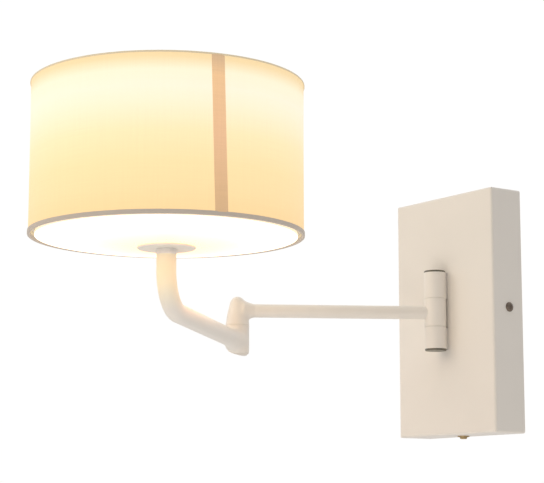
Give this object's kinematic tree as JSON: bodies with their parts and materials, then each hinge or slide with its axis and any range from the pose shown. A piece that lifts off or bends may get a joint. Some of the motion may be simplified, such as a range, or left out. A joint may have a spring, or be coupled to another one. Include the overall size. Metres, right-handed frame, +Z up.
{
  "type": "swing arm wall sconce",
  "caption": "Wall light with a rectangular wall box, a two-part swing arm on vertical pivots, and a fabric drum shade with a closed opal underside.",
  "frame": {"origin": "centre of the wall plate's back face, on the wall", "axes": "+Y into the wall, -Y out into the room, +Z up, +X to the right seen from the room"},
  "size_m": [0.2235, 0.4252, 0.249],
  "materials": {
    "powder_coat": "satin warm-white powder coat, fine orange peel",
    "plate_paint": "satin",
    "zinc_steel": "zinc plated, satin",
    "grey_metal": "satin nickel, turned",
    "wire_frame": "white coated wire",
    "brass": "bright, machined",
    "switch_brass": "aged satin brass",
    "bronze": "dark oiled bronze",
    "pivot_dark": "satin gunmetal",
    "nylon": "translucent natural nylon",
    "white_plastic": "moulded, semi-gloss",
    "black_plastic": "moulded, fine texture",
    "rubber": "matte",
    "lead_sheath": "soft PVC",
    "shade_fabric": "plain-weave fabric laminated on translucent film, lit from inside",
    "seam_fabric": "doubled weave at the overlap",
    "trim_tape": "woven bias tape",
    "diffuser_acrylic": "opal acrylic, lit from behind",
    "bulb_metal": "rolled thread",
    "bulb_glass": "frosted"
  },
  "bodies": {
    "wall_box": {"wall_plate": "zinc_steel", "cable_grommet": "rubber", "earth_screw": "brass", "terminal_block": "white_plastic", "terminal_screws": "brass", "box_cover": "powder_coat", "cover_screws": "bronze", "hinge_bracket": "powder_coat", "bracket_nuts": "zinc_steel", "hinge_pin": "zinc_steel", "pivot_washers": "nylon", "pivot_cap_top": "pivot_dark", "pivot_cap_bottom": "pivot_dark", "box_lead": "lead_sheath", "switch_body": "black_plastic", "switch_nut": "switch_brass", "switch_spring": "zinc_steel"},
    "switch_button": {"switch_button": "switch_brass"},
    "upper_arm": {"arm_knuckle": "powder_coat", "arm_tube": "powder_coat", "elbow_head": "powder_coat", "arm_lead": "lead_sheath", "elbow_pin": "zinc_steel", "elbow_washer": "nylon", "elbow_spring_washer": "zinc_steel", "elbow_nut": "zinc_steel"},
    "lower_arm": {"elbow_base": "powder_coat", "elbow_cap": "powder_coat", "lower_arm": "powder_coat", "lower_lead": "lead_sheath", "riser_bush": "brass", "stem_nipple": "zinc_steel", "stem_collar": "grey_metal", "diffuser_plate": "plate_paint", "diffuser": "diffuser_acrylic", "clamp_nut": "zinc_steel", "lamp_holder": "white_plastic", "lamp_shell": "brass", "lamp_contact": "brass", "shade_clamp_ring": "white_plastic", "shade_spider": "wire_frame", "shade_top_ring": "wire_frame", "shade_skin": "shade_fabric", "shade_trim_bottom": "trim_tape", "shade_trim_top": "trim_tape", "shade_seam": "seam_fabric", "bulb_cap": "bulb_metal", "bulb_globe": "bulb_glass"}
  },
  "joints": [
    {"name": "arm_swing", "type": "hinge", "parent": "wall_box", "child": "upper_arm", "pos_m": [0, -0.042, 0.001], "axis": [0, 0, 1], "range_deg": [-60, 120]},
    {"name": "elbow_swing", "type": "hinge", "parent": "upper_arm", "child": "lower_arm", "pos_m": [-0.0825, -0.18489, -0.0113], "axis": [0, 0, 1], "range_deg": [-183, 45]},
    {"name": "switch_press", "type": "slide", "parent": "wall_box", "child": "switch_button", "axis": [0, 0, 1], "range_m": [0, 0.0015], "stiffness_N_per_m": 400, "springref_m": -0.002, "deforming": ["switch_spring"]}
  ]
}
